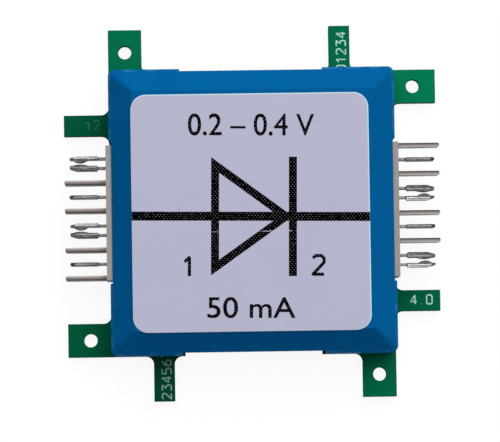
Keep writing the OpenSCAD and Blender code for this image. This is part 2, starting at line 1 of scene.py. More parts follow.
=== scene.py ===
# %% [markdown]
# # A plug-together block that holds a glass germanium diode
# The block is a green circuit board with eight edge tabs, a blue cap with a bevelled top and a
# printed label, and two four-way connectors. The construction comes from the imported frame, piece
# by piece and in real size, so this notebook never moves a part. It rounds the edges, adds the
# prints and gives each piece a finish. Blender works in metres, so sizes are written here in
# millimetres and multiplied by MM.

# %% Load the frame
import json
import math

import bmesh
import bpy
from mathutils import Matrix, Vector

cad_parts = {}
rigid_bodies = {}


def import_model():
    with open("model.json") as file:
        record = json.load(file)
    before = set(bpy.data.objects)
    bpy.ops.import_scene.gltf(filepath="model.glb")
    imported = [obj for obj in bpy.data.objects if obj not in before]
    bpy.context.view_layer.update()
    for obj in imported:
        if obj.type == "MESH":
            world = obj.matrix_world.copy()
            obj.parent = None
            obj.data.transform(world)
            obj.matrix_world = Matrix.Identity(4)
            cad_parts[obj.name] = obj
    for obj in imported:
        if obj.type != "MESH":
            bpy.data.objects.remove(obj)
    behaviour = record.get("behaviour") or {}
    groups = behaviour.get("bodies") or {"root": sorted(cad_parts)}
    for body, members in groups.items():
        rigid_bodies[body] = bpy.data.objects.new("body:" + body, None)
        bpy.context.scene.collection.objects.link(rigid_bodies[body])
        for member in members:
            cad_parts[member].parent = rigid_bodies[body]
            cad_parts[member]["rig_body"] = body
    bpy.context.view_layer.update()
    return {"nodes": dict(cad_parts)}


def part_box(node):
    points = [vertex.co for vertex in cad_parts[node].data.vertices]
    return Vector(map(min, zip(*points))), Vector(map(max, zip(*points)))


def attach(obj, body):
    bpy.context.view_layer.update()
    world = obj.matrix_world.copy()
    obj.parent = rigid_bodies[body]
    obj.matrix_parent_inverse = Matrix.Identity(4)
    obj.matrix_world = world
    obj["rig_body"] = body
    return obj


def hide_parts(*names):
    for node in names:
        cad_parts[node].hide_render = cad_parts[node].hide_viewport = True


for left_over in list(bpy.data.objects):
    bpy.data.objects.remove(left_over)

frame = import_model()
nodes = frame["nodes"]
MM = 0.001

# %% [markdown]
# ## Shader maths as plain expressions
# A finish is a small network of nodes. Wiring it by hand hides what it says, so one class wraps
# the output of a node and lets Python's own operators add the Math nodes, and one method adds any
# other node. After that a speckle is written the way one would say it: noise, above a threshold,
# times a colour.

# %% A wrapper for one output of a node
class Signal:
    def __init__(self, finish, socket):
        self.finish = finish
        self.socket = socket

    def math(self, operation, *values):
        return self.finish.add("Math", {"operation": operation}, dict(enumerate(values)))

    def __add__(self, other):
        return self.math("ADD", self, other)

    def __sub__(self, other):
        return self.math("SUBTRACT", self, other)

    def __rsub__(self, other):
        return self.math("SUBTRACT", other, self)

    def __mul__(self, other):
        return self.math("MULTIPLY", self, other)

    def __truediv__(self, other):
        return self.math("DIVIDE", self, other)

    def __abs__(self):
        return self.math("ABSOLUTE", self)

    def smaller(self, other):
        return self.math("MINIMUM", self, other)

    def larger(self, other):
        return self.math("MAXIMUM", self, other)

    def root(self):
        return self.math("SQRT", self)

    def fraction(self):
        return self.math("FRACT", self)

    __radd__ = __add__
    __rmul__ = __mul__

# %% [markdown]
# A finish owns a node tree. Patterns read Object coordinates, which stay on the piece when it
# moves, and are turned into millimetres, so a grain of 0.2 mm is written as 0.2. What changes over
# a surface goes into colour, roughness or bump only, and a value that is the same all over is
# typed into the shader's own socket. A mask is a signal from 0 to 1: a ramp switches it on
# softly, a band switches it on and off again, and a dot marks one place.

# %% A finish and its patterns
class Finish:
    def __init__(self, owner):
        owner.use_nodes = True
        self.owner = owner
        self.tree = owner.node_tree
        self.tree.nodes.clear()

    def add(self, kind, settings=None, inputs=None, output=0):
        node = self.tree.nodes.new("ShaderNode" + kind)
        for name, value in (settings or {}).items():
            setattr(node, name, value)
        for name, value in (inputs or {}).items():
            if isinstance(value, Signal):
                self.tree.links.new(value.socket, node.inputs[name])
            else:
                node.inputs[name].default_value = value
        return Signal(self, node.outputs[output]) if len(node.outputs) else None

    def place(self):
        point = self.add("TexCoord", output="Object")
        return self.add("VectorMath", {"operation": "SCALE"}, {0: point, "Scale": 1 / MM})

    def axis(self, vector, name):
        return self.add("SeparateXYZ", None, {0: vector}, name)

    def facing(self):
        # 1 where the surface looks straight up, 0 where it is upright.
        return self.axis(self.add("TexCoord", output="Normal"), "Z")

    def stretched(self, vector, *factors):
        # The larger a factor, the finer the pattern along that axis.
        return self.add("VectorMath", {"operation": "MULTIPLY"}, {0: vector, 1: factors})

    def noise(self, vector, grain, detail=2, rough=0.5):
        inputs = {"Vector": vector, "Scale": 1 / grain, "Detail": detail, "Roughness": rough}
        return self.add("TexNoise", None, inputs)

    def ramp(self, value, low, high):
        settings = {"interpolation_type": "SMOOTHSTEP"}
        return self.add("MapRange", settings, {"Value": value, 1: low, 2: high})

    def band(self, value, low, low_full, high_full, high):
        return self.ramp(value, low, low_full) * (1 - self.ramp(value, high_full, high))

    def dot(self, vector, centre, full, end):
        apart = self.add("VectorMath", {"operation": "DISTANCE"}, {0: vector, 1: centre}, "Value")
        return 1 - self.ramp(apart, full, end)

    def blend(self, factor, first, second):
        return self.add("Mix", {"data_type": "RGBA"}, {0: factor, 6: first, 7: second}, 2)

    def bump(self, height, depth):
        return self.add("Bump", None, {"Height": height, "Strength": 1, "Distance": depth * MM})

    def surface(self, **inputs):
        named = {name.replace("_", " "): value for name, value in inputs.items()}
        shader = self.add("BsdfPrincipled", None, named)
        self.add("OutputMaterial", None, {"Surface": shader})
        print(self.owner.name, "has", len(self.tree.nodes), "nodes")

# %% [markdown]
# Colours are written as red, green and blue from 0 to 255, as an image editor shows them. The
# shader works with the light itself, so each level is first turned from the screen's curve into a
# linear amount. A new piece gets its finish in its only slot. A node of the frame keeps its slots,
# and only what they hold is changed.

# %% Colours, and giving a finish to a piece
def colour(red, green, blue):
    def linear(level):
        level = level / 255
        return level / 12.92 if level <= 0.04045 else ((level + 0.055) / 1.055) ** 2.4

    return (linear(red), linear(green), linear(blue), 1)


def new_finish(name):
    return Finish(bpy.data.materials.new(name))


def dress(piece, finish):
    slots = piece.data.materials
    slots.clear()
    slots.append(finish.owner)


def dress_nodes(finish, *names):
    for name in names:
        for place in nodes[name].material_slots:
            place.material = finish.owner
    print(finish.owner.name, "on", len(names), "nodes of the frame")

# %% [markdown]
# ## Camera, light and floor
# The block was photographed from nearly straight above, from far away with a long lens. A camera
# fitted to the tab corners and holes gives the place and turn below. A product photo of this kind
# has one large soft light, here from behind the block and a little to the right, and white paper
# all round.

# %% Camera
CAMERA_PLACE = Vector((-9.91, -27.91, 500)) * MM
CAMERA_TURN = (3.113, -1.062, -0.865)
FOCAL_LENGTH = 300
SENSOR_WIDTH = 36
NEAREST = 10

lens = bpy.data.cameras.new("camera")
lens.lens = FOCAL_LENGTH
lens.sensor_width = SENSOR_WIDTH
lens.clip_start = NEAREST * MM
camera = bpy.data.objects.new("camera", lens)
camera.location = CAMERA_PLACE
camera.rotation_euler = [math.radians(turn) for turn in CAMERA_TURN]
bpy.context.scene.collection.objects.link(camera)
bpy.context.scene.camera = camera
bpy.context.scene.view_settings.view_transform = "Standard"
print("camera at", [round(part / MM, 1) for part in camera.location], "mm")

# %% [markdown]
# The lamp is a disk, larger than the block by far, so its shadows are soft. Its power is worked
# out from its size and distance: at a level of 1, a white face square to this light alone renders
# as white.

# %% Key light
KEY_AZIMUTH = 20
KEY_HEIGHT = 54
KEY_DISTANCE = 1.2
KEY_SIZE = 1.7
KEY_LEVEL = 0.9

lamp = bpy.data.lights.new("key_light", "AREA")
lamp.shape = "DISK"
lamp.size = KEY_SIZE
lamp.energy = KEY_LEVEL * math.pi**2 * (KEY_DISTANCE**2 + (KEY_SIZE / 2) ** 2)
turn, rise = math.radians(KEY_AZIMUTH), math.radians(KEY_HEIGHT)
outwards = math.cos(rise)
away = Vector((math.sin(turn) * outwards, math.cos(turn) * outwards, math.sin(rise)))
key_light = bpy.data.objects.new("key_light", lamp)
key_light.location = away * KEY_DISTANCE
key_light.rotation_euler = away.to_track_quat("Z", "Y").to_euler()
bpy.context.scene.collection.objects.link(key_light)
print("key light", round(lamp.energy, 2), "W")

# %% [markdown]
# The world has two jobs. As light it is a weak even glow, so that the sides turned away from the
# key stay dark, as in the photo. As a background it is white, also in what metal and glass
# reflect. The Light Path node tells the two apart. The floor does the same: seen directly it is
# nearly white by itself, and a smaller lit part of it keeps the shadow.

# %% World
FILL_LEVEL = 0.22
WHITE = (1, 1, 1, 1)


def seen_directly(finish):
    path = finish.add("LightPath", output="Is Camera Ray")
    outputs = path.socket.node.outputs
    glossy = Signal(finish, outputs["Is Glossy Ray"])
    through = Signal(finish, outputs["Is Transmission Ray"])
    return path.larger(glossy).larger(through)


studio = bpy.data.worlds.new("studio")
bpy.context.scene.world = studio
sky = Finish(studio)
strength = seen_directly(sky) * (1 - FILL_LEVEL) + FILL_LEVEL
glow = sky.add("Background", None, {"Color": WHITE, "Strength": strength})
sky.add("OutputWorld", None, {"Surface": glow})
print("world light", FILL_LEVEL)

# %% Floor
PAPER_LEVEL = 0.8
FLOOR_GLOW = 0.92
FLOOR_LIT = 0.1
FLOOR_HALF = 1.5
FLOOR_DROP = 0.02

paper = new_finish("white_paper")
plain = paper.add("BsdfDiffuse", None, {"Color": (PAPER_LEVEL, PAPER_LEVEL, PAPER_LEVEL, 1)})
lit = paper.add("BsdfDiffuse", None, {"Color": (FLOOR_LIT, FLOOR_LIT, FLOOR_LIT, 1)})
own_glow = paper.add("Emission", None, {"Color": WHITE, "Strength": FLOOR_GLOW})
shown = paper.add("AddShader", None, {0: lit, 1: own_glow})
either = paper.add("MixShader", None, {0: seen_directly(paper), 1: plain, 2: shown})
paper.add("OutputMaterial", None, {"Surface": either})

floor_shape = bmesh.new()
bmesh.ops.create_grid(floor_shape, x_segments=1, y_segments=1, size=FLOOR_HALF)
bmesh.ops.translate(floor_shape, verts=floor_shape.verts, vec=(0, 0, -FLOOR_DROP * MM))
floor_mesh = bpy.data.meshes.new("floor")
floor_shape.to_mesh(floor_mesh)
floor_shape.free()
floor = bpy.data.objects.new("floor", floor_mesh)
bpy.context.scene.collection.objects.link(floor)
dress(floor, paper)
print("floor half width", FLOOR_HALF, "m")

# %% [markdown]
# ## Rounding the edges
# Nothing real has a razor edge: moulded plastic, sheared metal and routed board all catch a thin
# line of light. The frame's meshes are sharp, loose triangles. A copy is merged, its flat faces
# are joined again, and a Bevel modifier rounds what is left of its edges. A Weighted Normal
# modifier then keeps the large faces flat and lets only the narrow ones blend. The copy rides
# where the node rode and stands for it. An edge's weight says how much of the full width it gets,
# and where a piece needs new forms, a reshape function works on the merged copy first.

# %% A mesh made a piece of a body
def link_mesh(name, shape, body, finish):
    mesh = bpy.data.meshes.new(name)
    shape.to_mesh(mesh)
    shape.free()
    if "custom_normal" in mesh.attributes:
        mesh.attributes.remove(mesh.attributes["custom_normal"])
    piece = bpy.data.objects.new(name, mesh)
    bpy.context.scene.collection.objects.link(piece)
    dress(piece, finish)
    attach(piece, body)
    return piece

# %% Rounded copies of the frame's nodes
MERGE = 0.002 * MM
FLAT = math.radians(1)
SHARP = math.radians(28)


def rounded(node, name, finish, width, segments=2, weight=None, reshape=None):
    shape = bmesh.new()
    shape.from_mesh(nodes[node].data)
    bmesh.ops.remove_doubles(shape, verts=shape.verts, dist=MERGE)
    if reshape:
        reshape(shape)
    bmesh.ops.dissolve_limit(shape, angle_limit=FLAT, verts=shape.verts, edges=shape.edges)
    marks = shape.edges.layers.float.new("bevel_weight_edge")
    for edge in shape.edges:
        edge.smooth = True
        if len(edge.link_faces) == 2 and edge.calc_face_angle(0) > SHARP:
            ends = [corner.co / MM for corner in edge.verts]
            edge[marks] = weight(*ends) if weight else 1.0
    for face in shape.faces:
        face.smooth = True
    piece = link_mesh(name, shape, nodes[node]["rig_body"], finish)
    soft = piece.modifiers.new("rounding", "BEVEL")
    soft.limit_method = "WEIGHT"
    soft.width = width * MM
    soft.segments = segments
    piece.modifiers.new("flat_faces", "WEIGHTED_NORMAL")
    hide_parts(node)
    print(name, "has", len(piece.data.polygons), "faces")
    return piece

# %% [markdown]
# ## Circuit board
# The board is routed from glass-fibre laminate and coated with green solder mask on both faces,
# so its cut edge shows a duller, darker core. One material can hold both, because the mask lies
# only at the two faces: height decides. A painted sheen makes the green paler from the lower left
# towards the upper right. It is deeper where no copper lies under it, and painted shade darkens it
# on the rounded rim. The weave of the glass cloth prints through faintly.

# %% Board finish
BOARD_TOP = 1.6
MASK_DEPTH = 0.04
COPPER_FROM, COPPER_FULL = 12.1, 12.7
SHEEN_X, SHEEN_Y = 0.47, 0.48
SHEEN_FROM, SHEEN_SPAN = -26, 50

board_finish = new_finish("masked_laminate")
spot = board_finish.place()
height = board_finish.axis(spot, "Z")
across = board_finish.axis(spot, "X")
along = board_finish.axis(spot, "Y")
from_middle = abs(height - BOARD_TOP / 2)
masked = board_finish.ramp(
    from_middle, BOARD_TOP / 2 - MASK_DEPTH * 1.5, BOARD_TOP / 2 - MASK_DEPTH * 0.5
)
cloudy = board_finish.noise(spot, 2.5, 3)
# Painted sheen: the green gets paler towards the upper right.
sheen_gradient = (across * SHEEN_X + along * SHEEN_Y - SHEEN_FROM) / SHEEN_SPAN
deep_green = board_finish.blend(cloudy, colour(0, 77, 45), colour(2, 84, 50))
pale_green = board_finish.blend(cloudy, colour(0, 124, 84), colour(2, 132, 91))
mask_green = board_finish.blend(sheen_gradient, deep_green, pale_green)
bare_green = board_finish.blend(sheen_gradient, colour(0, 60, 37), colour(2, 114, 78))
copper_below = board_finish.ramp(abs(across).smaller(abs(along)), COPPER_FROM, COPPER_FULL)
mask_green = board_finish.blend(copper_below, bare_green, mask_green)
# Painted shade on the rounded rim, where the faces turn away from the light.
painted_board_rim_shade = 1 - board_finish.ramp(abs(board_finish.facing()), 0.72, 0.98)
mask_green = board_finish.blend(painted_board_rim_shade * 0.7, mask_green, colour(0, 34, 20))
fibres = board_finish.noise(board_finish.stretched(spot, 1, 1, 9), 0.8, 3)
core = board_finish.blend(fibres, colour(16, 50, 30), colour(50, 82, 50))
warp = board_finish.noise(board_finish.stretched(spot, 3, 1, 1), 0.5)
weft = board_finish.noise(board_finish.stretched(spot, 1, 3, 1), 0.5)
board_finish.surface(
    Base_Color=board_finish.blend(masked, core, mask_green),
    Roughness=0.75 - masked * 0.35,
    Specular_IOR_Level=0.008,
    Normal=board_finish.bump(warp + weft, 0.006),
)

# %% Board
BOARD_ROUND = 0.09
rounded("circuit_board", "board", board_finish, BOARD_ROUND, 1)

# %% [markdown]
# Copper under the mask shows as a slightly paler, raised green. The bare pads and the solder on
# them are tin: a bright metal with a grainy, uneven sheen. Their shapes are right as they are in
# the frame, so only their finish is changed.

# %% Copper and solder finishes
track_finish = new_finish("masked_copper")
spot = track_finish.place()
cloudy = track_finish.noise(spot, 1.2, 3)
track_finish.surface(
    Base_Color=track_finish.blend(cloudy, colour(16, 112, 68), colour(30, 130, 82)),
    Roughness=0.38,
    Specular_IOR_Level=0.1,
    Normal=track_finish.bump(track_finish.noise(spot, 0.3), 0.004),
)

solder_finish = new_finish("solder")
spot = solder_finish.place()
grain = solder_finish.noise(spot, 0.25, 4, 0.6)
solder_finish.surface(
    Base_Color=solder_finish.blend(grain, colour(176, 178, 182), colour(214, 215, 216)),
    Metallic=1.0,
    Roughness=0.22 + grain * 0.22,
    Normal=solder_finish.bump(grain, 0.02),
)
dress_nodes(track_finish, "copper_tracks")
dress_nodes(
    solder_finish,
    "solder_pads",
    "right_contact_solder",
    "left_contact_solder",
    "anode_solder",
    "cathode_solder",
)

# %% [markdown]
# ## Cap
# The cap is one blue moulding: upright walls with a window on each side, four slopes and a flat
# top. The plastic is spark-eroded in the mould to a fine even grain. It has rubbed a little paler
# in patches where the walls meet the slopes, and one slope carries a small pale speck.

# %% Cap finish
CAP_HALF = 17.0
CAP_WALL_TOP = 6.5
CAP_TOP = 9.6
CAP_SPECK = (-15.04, 8.16, 8.0)

blue_finish = new_finish("blue_plastic")
spot = blue_finish.place()
height = blue_finish.axis(spot, "Z")
reach = abs(blue_finish.axis(spot, "X")).larger(abs(blue_finish.axis(spot, "Y")))
cloudy = blue_finish.noise(spot, 3.5, 3)
grain = blue_finish.noise(spot, 0.12, 2, 0.6)
moulded = blue_finish.blend(cloudy, colour(0, 88, 144), colour(0, 95, 156))
at_edge = blue_finish.ramp(reach, CAP_HALF - 0.45, CAP_HALF - 0.05)
at_edge = at_edge * blue_finish.ramp(height, CAP_WALL_TOP - 0.5, CAP_WALL_TOP - 0.1)
rubbed = at_edge * blue_finish.ramp(blue_finish.noise(spot, 1.1, 4, 0.6), 0.42, 0.62)
speck = blue_finish.dot(spot, CAP_SPECK, 0.08, 0.16)
worn = (rubbed * 0.25).larger(speck * 0.6)
blue_finish.surface(
    Base_Color=blue_finish.blend(worn, moulded, colour(90, 164, 214)),
    Roughness=0.42 + grain * 0.16,
    Specular_IOR_Level=0.006,
    Normal=blue_finish.bump(grain, 0.012),
)

# %% [markdown]
# The slopes meet in soft mitres, which get the full width of the rounding. The edge of the flat
# top, the edge between wall and slope, and the edges of windows and pegs get a share of it. Where
# an edge lies, and between which heights it runs, says which of them it is.

# %% Cap shell
CAP_ROUND = 0.6
TOP_SHARE = 0.27
WALL_SHARE = 0.58
SMALL_SHARE = 0.15
WALL_DEPTH = 0.6
TOP_DEPTH = 0.1
NEAR = 0.02


def cap_edge_weight(start, end):
    reaches = [max(abs(point.x), abs(point.y)) for point in (start, end)]
    low, high = min(start.z, end.z), max(start.z, end.z)
    if low > CAP_TOP - NEAR:
        return TOP_SHARE
    outside = min(reaches) > CAP_HALF - WALL_DEPTH
    if outside and low > CAP_WALL_TOP - NEAR and high < CAP_WALL_TOP + NEAR:
        return WALL_SHARE
    if low > CAP_WALL_TOP - NEAR and high > CAP_TOP - TOP_DEPTH:
        return 1.0
    return SMALL_SHARE


rounded("cap", "cap_shell", blue_finish, CAP_ROUND, 4, cap_edge_weight)

# %% [markdown]
# ## Label and its print
# The label is a film of pale, faintly violet white, with one small dark speck. Along the cut, a
# thin painted highlight shows where the edge would catch the light, on the right and upper sides
# only. The distance to a rounded square tells how far a point is from the cut: in a corner it is
# measured from the middle of the corner's arc, and elsewhere from the nearer side.

# %% Label finish
label_low, label_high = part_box("label")
LABEL_HALF = (label_high.x - label_low.x) / 2 / MM
LABEL_MIDDLE = (label_low + label_high) / 2 / MM
LABEL_ROUND = 1.8
HIGHLIGHT_WIDTH = 0.1
LABEL_SPECK = (-8.72, 0.2, 9.7)

label_finish = new_finish("label_film")
spot = label_finish.place()
centred = label_finish.add("Mapping", None, {"Vector": spot, "Location": tuple(-LABEL_MIDDLE)})
across = label_finish.axis(centred, "X")
along = label_finish.axis(centred, "Y")
out_x = abs(across) - (LABEL_HALF - LABEL_ROUND)
out_y = abs(along) - (LABEL_HALF - LABEL_ROUND)
corner_x, corner_y = out_x.larger(0), out_y.larger(0)
in_corner = (corner_x * corner_x + corner_y * corner_y).root()
inside = (in_corner + out_x.larger(out_y).smaller(0)) - LABEL_ROUND
# A painted highlight along the cut, kept to the right and upper sides.
edge_highlight = label_finish.ramp(inside, -HIGHLIGHT_WIDTH * 1.6, -HIGHLIGHT_WIDTH * 0.6)
lit_side = label_finish.ramp(across.larger(along), LABEL_HALF - 1, LABEL_HALF - 0.3)
film = label_finish.noise(spot, 6, 2)
grain = label_finish.noise(spot, 0.35, 3, 0.6)
tint = label_finish.blend(film, colour(182, 183, 207), colour(186, 187, 209))
tint = label_finish.blend(grain * 0.25, tint, colour(174, 176, 200))
speck = label_finish.dot(spot, LABEL_SPECK, 0.03, 0.12)
tint = label_finish.blend(speck * 0.6, tint, colour(60, 60, 70))
label_finish.surface(
    Base_Color=label_finish.blend(edge_highlight * lit_side, tint, colour(206, 232, 240)),
    Roughness=0.5,
    Specular_IOR_Level=0.1,
    Normal=label_finish.bump(grain, 0.003),
)
dress_nodes(label_finish, "label")

# %% [markdown]
# The print is a laser printer's: toner in fine staggered dots, so black areas carry a faint
# lighter raster. Here and there a grain of toner is missing, and a thin scratch runs across.

# %% Ink finish
RASTER = 0.39
ROW = 0.24
SCRATCH_Y = -2.6

ink_finish = new_finish("print_ink")
spot = ink_finish.place()


def raster_dots(finish, vector, shift):
    column = finish.axis(vector, "X") / RASTER + shift
    row_pair = finish.axis(vector, "Y") / (2 * ROW) + shift
    off_x = abs(column.fraction() - 0.5) * RASTER
    off_y = abs(row_pair.fraction() - 0.5) * 2 * ROW
    return 1 - finish.ramp(off_x.larger(off_y), 0.015, 0.05)


dots = raster_dots(ink_finish, spot, 0).larger(raster_dots(ink_finish, spot, 0.5))
patchy = ink_finish.ramp(ink_finish.noise(spot, 0.4, 3, 0.7), 0.36, 0.6)
black = ink_finish.blend(dots * patchy, colour(0, 0, 1), colour(176, 174, 180))
missing = ink_finish.ramp(ink_finish.noise(spot, 0.16, 2), 0.74, 0.8)
off_line = abs(ink_finish.axis(spot, "Y") - SCRATCH_Y)
lengthwise = ink_finish.stretched(spot, 1, 0.2, 1)
broken = ink_finish.ramp(ink_finish.noise(lengthwise, 0.3, 3), 0.46, 0.54)
missing = missing.larger((1 - ink_finish.ramp(off_line, 0.03, 0.09)) * broken)
ink_finish.surface(
    Base_Color=ink_finish.blend(missing, black, colour(150, 150, 166)),
    Roughness=0.6,
    Specular_IOR_Level=0.0,
)
dress_nodes(ink_finish, "label_print")

# %% [markdown]
# The label's words are plain ratings and numbers, set from Blender's own typeface. A text object
# is a curve, so it is made a mesh first and only then made bolder, scaled, turned and laid on the
# label. It is made bolder by moving the outline outwards along the letters' upright sides.

# %% Letters as a mesh
BOLDER = 0.009
LETTER_DEPTH = 0.01
LETTER_MERGE = 1e-6


def embolden(shape, amount):
    moves = {}
    for corner in shape.verts:
        sides = [face.normal for face in corner.link_faces if abs(face.normal.z) < 0.5]
        outwards = sum(sides, Vector())
        if outwards.length > 0.01:
            moves[corner] = outwards.normalized() * amount
    for corner, move in moves.items():
        corner.co += move


def curve_as_bmesh(name, curve, merge):
    drawn = bpy.data.objects.new(name, curve)
    bpy.context.scene.collection.objects.link(drawn)
    bpy.context.view_layer.update()
    shape = bmesh.new()
    shape.from_mesh(drawn.evaluated_get(bpy.context.evaluated_depsgraph_get()).to_mesh())
    bpy.data.objects.remove(drawn)
    bmesh.ops.remove_doubles(shape, verts=shape.verts, dist=merge)
    return shape


def word_mesh(name, words):
    curve = bpy.data.curves.new(name, "FONT")
    curve.body = words
    curve.extrude = LETTER_DEPTH
    curve.resolution_u = 6
    shape = curve_as_bmesh(name, curve, LETTER_MERGE)
    embolden(shape, BOLDER)
    return shape

# %% Words laid on the label
INK_TURN = -0.9
INK_LOW = 9.7
INK_HIGH = 9.72


def span(shape, axis):
    values = [corner.co[axis] for corner in shape.verts]
    return min(values), max(values)


def turned_at(foot, turn):
    return Matrix.Translation(Vector(foot) * MM) @ Matrix.Rotation(math.radians(turn), 4, "Z")


def printed(name, words, centre, cap_height, width):
    shape = word_mesh(name, words)
    (left, right), (foot, head), (back, front) = (span(shape, axis) for axis in range(3))
    tall = cap_height / (head - foot)
    wide = width / (right - left)
    thick = (INK_HIGH - INK_LOW) / (front - back)
    to_middle = Matrix.Translation((-(left + right) / 2, -(foot + head) / 2, -back))
    to_size = Matrix.Diagonal((wide * MM, tall * MM, thick * MM, 1))
    shape.transform(turned_at((*centre, INK_LOW), INK_TURN) @ to_size @ to_middle)
    piece = link_mesh(name, shape, "cap", ink_finish)
    print(name, "has", len(piece.data.polygons), "faces")

# %% [markdown]
# Single digits are drawn with a round pen instead: a short line through a few points, thickened,
# made a mesh and pressed flat. The points are those of a digit 1 high and at most 0.64 wide. The
# thickened line narrows towards a sharp corner, so each straight gets a point just inside both of
# its ends.

# %% Digits as points
DIGITS = {
    "0": [
        (0.12, 0), (0.48, 0), (0.6, 0.14), (0.6, 0.86), (0.48, 1),
        (0.12, 1), (0, 0.86), (0, 0.14), (0.12, 0),
    ],
    "1": [(0.08, 0.76), (0.34, 1), (0.34, 0)],
    "2": [(0, 0.86), (0.14, 1), (0.46, 1), (0.6, 0.86), (0.6, 0.64), (0, 0), (0.6, 0)],
    "3": [(0, 1), (0.6, 1), (0.28, 0.6), (0.5, 0.56), (0.6, 0.4), (0.6, 0.12), (0.48, 0), (0, 0)],
    "4": [(0.46, 0), (0.46, 1), (0, 0.3), (0.64, 0.3)],
    "5": [
        (0.6, 1), (0.04, 1), (0, 0.56), (0.46, 0.58), (0.6, 0.44), (0.6, 0.14), (0.46, 0), (0, 0),
    ],
    "6": [
        (0.5, 1), (0.08, 0.66), (0, 0.4), (0, 0.12), (0.12, 0),
        (0.48, 0), (0.6, 0.14), (0.6, 0.4), (0.48, 0.54), (0, 0.5),
    ],
    "7": [(0, 1), (0.6, 1), (0.22, 0)],
    ".": [(0.28, 0), (0.28, 0.04)],
}
print(len(DIGITS), "signs")

# %% Digits as pen strokes
PEN_MERGE = 1e-5


def with_near_corners(points):
    dense = [points[0]]
    for (x, y), (next_x, next_y) in zip(points, points[1:]):
        for share in (0.04, 0.96, 1):
            dense.append((x + (next_x - x) * share, y + (next_y - y) * share))
    return dense


def pen_shape(name, digits, height, step, stroke):
    curve = bpy.data.curves.new(name, "CURVE")
    curve.dimensions = "3D"
    curve.bevel_depth = stroke / height / 2
    curve.bevel_resolution = 2
    curve.use_fill_caps = True
    for index, digit in enumerate(digits):
        points = with_near_corners(DIGITS[digit])
        line = curve.splines.new("POLY")
        line.points.add(len(points) - 1)
        for point, (x, y) in zip(line.points, points):
            point.co = (x + index * step / height, y, 0, 1)
    return curve_as_bmesh(name, curve, PEN_MERGE)


def pen_number(name, digits, foot, turn, height, step, stroke, lift, body, finish):
    shape = pen_shape(name, digits, height, step, stroke)
    flat = 2 * lift * height / stroke
    to_size = Matrix.Diagonal((height * MM, height * MM, flat * MM, 1))
    shape.transform(turned_at(foot, turn) @ to_size)
    piece = link_mesh(name, shape, body, finish)
    print(name, "has", len(piece.data.polygons), "faces")

# %% Words and terminal numbers
WORD_PLACES = (
    ("title_print", "0.2 – 0.4 V", 0.17, 10.36, 2.63, 14.9),
    ("rating_print", "50 mA", -0.1, -11.25, 2.5, 10.4),
)
TERMINALS = (("left", "1", -8.1), ("right", "2", 7.2))
TERMINAL_Y = -7.42
TERMINAL_HEIGHT = 2.2
PEN = 0.38

for name, words, x, y, cap_height, width in WORD_PLACES:
    centre = (LABEL_MIDDLE.x + x, LABEL_MIDDLE.y + y)
    printed(name, words, centre, cap_height, width)
for side, digit, x in TERMINALS:
    foot = (LABEL_MIDDLE.x + x, LABEL_MIDDLE.y + TERMINAL_Y, (INK_LOW + INK_HIGH) / 2)
    pen_number(
        side + "_terminal_print",
        digit,
        foot,
        INK_TURN,
        TERMINAL_HEIGHT,
        1,
        PEN,
        (INK_HIGH - INK_LOW) / 2,
        "cap",
        ink_finish,
    )

# %% [markdown]
# ## Connector housings
# The housings are moulded in a pale beige plastic that looks slightly mottled. Along one side of
# each fin runs a strip of painted shade that fades downward, and along the other side a strip of
# painted light. They change sides in the other housing, because both are the same part turned by
# half a turn. Object coordinates times the side's sign make one recipe serve for both.

# %% Housing finishes
FINS = (7.69, 4.34, -0.34, -3.66)
FIN_FOOT = 3.2
FIN_TOP = 5.4
FRONT = 17.4
PAINTED_SHADE_STRIP = (-0.25, 0.2, 0.4, 0.5)
PAINTED_LIGHT_STRIP = (-0.5, -0.4, -0.32, -0.15)


def housing_finish(name, side, shade, dull, light):
    finish = new_finish(name)
    spot = finish.place()
    cloudy = finish.noise(spot, 0.9, 4, 0.6)
    fine = finish.noise(spot, 0.18, 2, 0.6)
    beige = finish.blend(cloudy, dull, light)
    beige = finish.blend(fine * 0.3, beige, colour(130, 126, 128))
    sideways = finish.axis(spot, "Y") * side
    # Strips of painted shade and painted light along the two sides of each fin.
    dark = pale = 0
    for fin in FINS:
        off = sideways - fin
        dark = dark + finish.band(off, *PAINTED_SHADE_STRIP)
        pale = pale + finish.band(off, *PAINTED_LIGHT_STRIP)
    on_fin = finish.ramp(finish.axis(spot, "X") * side, FRONT + 0.05, FRONT + 0.15)
    near_top = finish.ramp(finish.axis(spot, "Z"), FIN_FOOT, FIN_TOP - 0.1)
    fin_beige = finish.blend(cloudy, colour(168, 160, 156), colour(182, 174, 170))
    fin_beige = finish.blend(pale, fin_beige, colour(222, 215, 211))
    beige = finish.blend(on_fin, beige, fin_beige)
    finish.surface(
        Base_Color=finish.blend(dark * on_fin * near_top * 0.95, beige, shade),
        Roughness=0.5,
        Specular_IOR_Level=0.15,
        Normal=finish.bump(fine, 0.01),
    )
    return finish


# The left copy's beige is painted lighter, because that housing gets less of the key light, and
# its painted fin shade is weaker.
right_beige = housing_finish(
    "right_connector_plastic", 1, colour(36, 31, 29), colour(146, 141, 137), colour(170, 163, 158)
)
left_beige = housing_finish(
    "left_connector_plastic", -1, colour(84, 77, 73), colour(156, 149, 143), colour(180, 172, 165)
)

# %% [markdown]
# The fins are moulded with round tips and soft edges. A weighted bevel can't round the short,
# faceted edges that the frame's fins have there, so the housing's copy is cut flush at its front
# plate and gets new fins of the same size. Each is a box that tapers on one side. The two upright
# edges of its tip are rounded first, and its upper and lower rims after.

# %% Fins with rounded tips
FIN_ROOT = 17.1
FIN_TIP = 22.33
FIN_THICK = 0.62
FIN_DRAFT = 0.1
TIP_ROUND = 0.22
RIM_ROUND = 0.09


def soften(shape, edges, width, segments):
    bmesh.ops.bevel(
        shape,
        geom=edges,
        offset=width * MM,
        offset_type="OFFSET",
        segments=segments,
        profile=0.5,
        affect="EDGES",
        material=-1,
        clamp_overlap=True,
    )


def all_near(edge, axis, value):
    return all(abs(corner.co[axis] / MM - value) < NEAR for corner in edge.verts)


def level(edge):
    return all_near(edge, 2, FIN_FOOT) or all_near(edge, 2, FIN_TOP)


